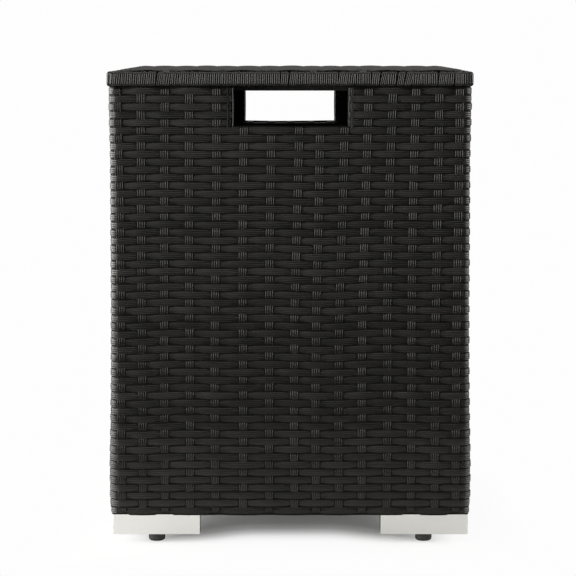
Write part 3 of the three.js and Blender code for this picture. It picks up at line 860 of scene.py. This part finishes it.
def wicker_material(name, stretch, painted_lightness, shine=WICKER_SHINE):
    made, tree, shader = new_material(name)
    tone = node(tree, "ShaderNodeAttribute", attribute_name="tone")
    lines = noise(tree, LINE_SCALE, stretch, WICKER_DETAIL)
    blotches = noise(tree, BLOTCH_SCALE, EVEN, WICKER_DETAIL)
    # Scaling the tones by this lightness paints light and shade onto whole parts.
    tones = [(at, tuple(value * painted_lightness for value in color)) for at, color in WICKER_TONES]
    color = ramp(tree, tone.outputs["Fac"], tones)
    color = mix(tree, "MULTIPLY", 1.0, color, ramp(tree, blotches, BLOTCHES))
    color = mix(tree, "MULTIPLY", 1.0, color, ramp(tree, lines, LINES))
    finish_look(tree, shader, color, lines, WICKER_ROUGH)
    shader.inputs["Specular IOR Level"].default_value = shine
    bump(tree, lines, *LINE_BUMP, shader)
    return made


# Painted shade: a darker, duller material for the edges deep between the strands, in place of the shade
# there.
PAINTED_SHADE_TONES = ((0.3, (0.0034, 0.0034, 0.0033)), (0.8, (0.0068, 0.0066, 0.0061)))
SHADE_SCALE, SHADE_DETAIL = 35, 4
SHADE_ROUGH, SHADE_SHINE = (0.68, 0.85), 0.09
SHADE_BUMP = (0.2, 0.4 * MM)


def painted_shade_material():
    made, tree, shader = new_material("wicker_painted_shade")
    painted_shade_noise = noise(tree, SHADE_SCALE, EVEN, SHADE_DETAIL)
    finish_look(tree, shader, ramp(tree, painted_shade_noise, PAINTED_SHADE_TONES), painted_shade_noise, SHADE_ROUGH)
    shader.inputs["Specular IOR Level"].default_value = SHADE_SHINE
    bump(tree, painted_shade_noise, *SHADE_BUMP, shader)
    return made


# Powder coat on the tubes, plastic of the pads and paint on the board: the scale, stretch and detail of
# a coarse and a fine noise, tones, range of roughness, whether it follows the fine noise, and bump.
COATINGS = {
    "powder_coat": {
        "coarse": (14, EVEN, 4), "fine": (900, EVEN, 2),
        "tones": ((0.3, grey(0.012)), (0.75, (0.024, 0.0237, 0.0225))),
        "rough": (0.48, 0.66), "rough_is_fine": False, "bump": (0.25, 0.3 * MM),
    },
    "pad_plastic": {
        "coarse": (60, (1, 1, 2), 5), "fine": (700, EVEN, 2),
        "tones": ((0.4, grey(0.0075)), (0.85, (0.03, 0.029, 0.027))),
        "rough": (0.45, 0.75), "rough_is_fine": False, "bump": (0.3, 0.3 * MM),
    },
    "painted_board": {
        "coarse": (9, EVEN, 6), "fine": (40, (1, 12, 1), 5),
        "tones": ((0.35, grey(0.005)), (0.8, (0.013, 0.0127, 0.012))),
        "rough": (0.6, 0.85), "rough_is_fine": True, "bump": (0.3, 0.5 * MM),
    },
}


def coating_material(name):
    look = COATINGS[name]
    made, tree, shader = new_material(name)
    coarse, fine = noise(tree, *look["coarse"]), noise(tree, *look["fine"])
    rough = fine if look["rough_is_fine"] else coarse
    finish_look(tree, shader, ramp(tree, coarse, look["tones"]), rough, look["rough"])
    bump(tree, fine, *look["bump"], shader)
    return made


# Bare metals: tones, range of roughness, and stretch of their brushed lines.
METALS = {
    "satin_aluminium": ((0.63, 0.63, 0.62), (0.66, 0.66, 0.65), (0.22, 0.27), (0.3, 0.3, 14)),
    "zinc_screw": ((0.42, 0.42, 0.41), (0.6, 0.6, 0.58), (0.25, 0.45), EVEN),
}
BRUSH_SCALE, BRUSH_DETAIL, CLOUD_SCALE, CLOUD_DETAIL = 90, 3, 22, 4
CLOUD_PLACES = (0.3, 0.7)
BRUSH_SHARE = 0.5
BRUSH_BUMP = (0.12, 0.2 * MM)


def metal_material(name):
    low, high, rough_range, stretch = METALS[name]
    made, tree, shader = new_material(name)
    brushed = noise(tree, BRUSH_SCALE, stretch, BRUSH_DETAIL)
    cloud = noise(tree, CLOUD_SCALE, EVEN, CLOUD_DETAIL)
    color = ramp(tree, cloud, tuple(zip(CLOUD_PLACES, (low, high))))
    finish_look(tree, shader, color, mix(tree, "MIX", BRUSH_SHARE, brushed, cloud), rough_range)
    shader.inputs["Metallic"].default_value = 1.0
    bump(tree, brushed, *BRUSH_BUMP, shader)
    return made


# Each kind of wicker: the stretch of its lines, how light it is and how much it shines. All are one resin, so
# the lightness of each is painted light: the lid's top is lighter and its binding and the stakes darker, in
# place of how light falls on them.
wicker_across = wicker_material("wicker_rows", (0.25, 0.25, 26), painted_lightness=1.0, shine=0.32)
wicker_up = wicker_material("wicker_stakes", (26, 26, 0.25), painted_lightness=0.95, shine=0.25)
wicker_lid_across = wicker_material("wicker_lid_rows", (0.25, 9, 9), painted_lightness=1.1)
wicker_lid_along = wicker_material("wicker_lid_stakes", (9, 0.25, 9), painted_lightness=1.1)
wicker_bind = wicker_material("wicker_binding", (9, 9, 0.4), painted_lightness=0.8)
wicker_painted_shade = painted_shade_material()
coat = coating_material("powder_coat")
pad = coating_material("pad_plastic")
board = coating_material("painted_board")
satin = metal_material("satin_aluminium")
zinc = metal_material("zinc_screw")


def dress(piece, *materials):
    """Gives a piece its materials, in place of the one that a CAD node comes with."""
    slots = piece.data.materials
    for number, material in enumerate(materials):
        if number < len(slots):
            slots[number] = material
        else:
            slots.append(material)


for part in weave_parts:
    dress(part, wicker_across if "rows" in part.name else wicker_up, wicker_painted_shade)
    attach(part, "cover")
    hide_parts(*WALL_NODES)
for part, material, cad_node in (
    (lid_binding, wicker_bind, "lid_edge_binding"),
    (lid_rows, wicker_lid_across, "lid_woven_top"),
    (lid_stakes, wicker_lid_along, "lid_woven_top"),
):
    dress(part, material, wicker_painted_shade)
    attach(part, "lid")
    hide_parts(cad_node)
for corner, part in foot_parts.items():
    dress(part, satin)
    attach(part, "cover")
    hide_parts(f"foot_{corner}")
for name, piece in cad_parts.items():
    if name.startswith(("foot_screw", "board_screw")):
        dress(piece, zinc)
    elif name.startswith("leveler"):
        dress(piece, pad)
    elif name == "lid_board":
        dress(piece, board)
    elif not name.startswith(("foot_", "woven_", "lid_woven", "lid_edge")):
        dress(piece, coat)

# The studio: a white that the camera sees, and a faint even light.
STUDIO_WHITE = (0.985, 0.985, 0.985, 1)
SKY_LIGHT, SKY_STRENGTH = (1, 1, 1, 1), 0.10


def make_world():
    world = bpy.data.worlds.new("studio")
    bpy.context.scene.world = world
    world.use_nodes = True
    sky = world.node_tree
    sky.nodes.clear()
    seen = node(sky, "ShaderNodeBackground", {"Color": STUDIO_WHITE})
    lit = node(sky, "ShaderNodeBackground", {"Color": SKY_LIGHT, "Strength": SKY_STRENGTH})
    rays = node(sky, "ShaderNodeLightPath")
    chosen = node(sky, "ShaderNodeMixShader", {
        "Fac": rays.outputs["Is Camera Ray"], 1: lit.outputs["Background"], 2: seen.outputs["Background"],
    })
    node(sky, "ShaderNodeOutputWorld", {"Surface": chosen.outputs["Shader"]})


make_world()

# The floor: half its width, its height just under the pads, and its dull paint.
FLOOR_HALF, FLOOR_Z = 0.55, -0.4 * MM
FLOOR_PAINT, FLOOR_ROUGH = (0.9, 0.9, 0.9, 1), 0.9
# Away from the object the camera sees the floor as the same white as the background. Nearer in this white is
# painted light: a small share lightens the shade under the object, and the ramp draws the edge of its shadow.
# Distances from the middle in metres, with the share of that white.
FLOOR_WHITE_AND_PAINTED_SHADE = ((0.05, 0.06), (0.10, 0.09), (0.13, 0.20), (0.15, 0.43), (0.17, 0.76), (0.19, 0.92), (0.28, 1.0))
# Near the feet the painted shadow reaches further forward: the distances from the middle between which this
# grows, and how far it goes.
FEET_FROM, FEET_TO, FEET_MORE = 0.04, 0.13, 0.035


def floor_distance(tree):
    """How far a place on the floor is from the object's middle, less in front of and behind the feet."""
    where = node(tree, "ShaderNodeTexCoord")
    size = node(tree, "ShaderNodeVectorMath", {0: where.outputs["Object"]}, operation="ABSOLUTE")
    split = node(tree, "ShaderNodeSeparateXYZ", {"Vector": size.outputs["Vector"]})
    feet = node(tree, "ShaderNodeMapRange", {
        "Value": split.outputs["X"], "From Min": FEET_FROM, "From Max": FEET_TO, "To Max": FEET_MORE,
    }, interpolation_type="SMOOTHSTEP")
    ahead = node(tree, "ShaderNodeMath", {0: split.outputs["Y"], 1: feet.outputs["Result"]},
                 operation="SUBTRACT")
    far = node(tree, "ShaderNodeMath", {0: split.outputs["X"], 1: ahead.outputs["Value"]},
               operation="MAXIMUM")
    return far.outputs["Value"]


def make_floor():
    mesh = bpy.data.meshes.new("floor")
    corners = [(x * FLOOR_HALF, y * FLOOR_HALF, FLOOR_Z) for x, y in ((-1, -1), (1, -1), (1, 1), (-1, 1))]
    mesh.from_pydata(corners, [], [(0, 1, 2, 3)])
    made = add_object("floor", mesh)
    paint, tree, shader = new_material("floor_paint")
    shader.inputs["Base Color"].default_value = FLOOR_PAINT
    shader.inputs["Roughness"].default_value = FLOOR_ROUGH
    shader.inputs["Specular IOR Level"].default_value = 0.0
    # The camera sees a share of plain white over the lit floor. Near the object this is painted light: it
    # lightens the shade under the object and draws the edge of its shadow.
    share = ramp(tree, floor_distance(tree), [(place, grey(value)) for place, value in FLOOR_WHITE_AND_PAINTED_SHADE])
    rays = node(tree, "ShaderNodeLightPath")
    seen = node(tree, "ShaderNodeMath", {0: share, 1: rays.outputs["Is Camera Ray"]}, operation="MULTIPLY")
    white = node(tree, "ShaderNodeEmission", {"Color": STUDIO_WHITE})
    mixed = node(tree, "ShaderNodeMixShader", {
        "Fac": seen.outputs["Value"], 1: shader.outputs["BSDF"], 2: white.outputs["Emission"],
    })
    end = next(item for item in tree.nodes if item.type == "OUTPUT_MATERIAL")
    tree.links.new(mixed.outputs["Shader"], end.inputs["Surface"])
    mesh.materials.append(paint)
    return made


floor = make_floor()

# Soft lights: place, what it is aimed at, width and height, all in metres, and power in watts.
LIGHTS = {
    "key_left": ((-2.4, -0.35, 0.8), (0, -0.35, 0.3), (3.9, 1.8), 232),
    "side_right": ((2.6, 0.1, 0.8), (0, 0.1, 0.3), (3.4, 1.8), 97),
    "soft_left": ((-1.2, -3.2, 0.6), (0, 0, 0.3), (0.6, 1.0), 5),
    "front_top": ((0.0, -1.4, 3.1), (0, 0, 0.3), (1.6, 0.5), 9),
    "back_left": ((-1.8, 2.6, 0.9), (0, 0, 0.3), (1.6, 1.8), 20),
    "back_low": ((0, 3.0, 1.0), (0, 0, 0.4), (3.0, 1.0), 3),
    "top": ((0, 0.6, 3.0), (0, 0, 0), (2.6, 2.6), 34),
}
LIGHT_COLOR = (1, 0.99, 0.95)


def area_light(name, place, target, size, power):
    data = bpy.data.lights.new(name, "AREA")
    data.shape = "RECTANGLE"
    data.size, data.size_y = size
    data.energy = power
    data.color = LIGHT_COLOR
    made = add_object(name, data)
    made.location = place
    aim = np.array(target) - np.array(place)
    made.rotation_mode = "QUATERNION"
    made.rotation_quaternion = Vector(aim).to_track_quat("-Z", "Y")
    return made


lights = [area_light(name, *values) for name, values in LIGHTS.items()]

# The camera: its lens and sensor in millimetres, how far the picture is shifted, where it stands in
# front of the object, how many degrees it looks down, and between what distances it sees.
LENS, SENSOR, SHIFT = 133.4, 36, -0.05
CAMERA_PLACE = (-0.0025, -2.605, 0.570)
LOOKS_DOWN = 5.79
CLIP = (0.05, 60)


def make_camera():
    data = bpy.data.cameras.new("camera")
    made = add_object("camera", data)
    data.sensor_width = SENSOR
    data.lens = LENS
    data.shift_y = SHIFT
    data.clip_start, data.clip_end = CLIP
    made.location = CAMERA_PLACE
    made.rotation_euler = (math.pi / 2 - math.radians(LOOKS_DOWN), 0, 0)
    return made


scene = bpy.context.scene
scene.camera = make_camera()
scene.view_settings.view_transform = "Standard"
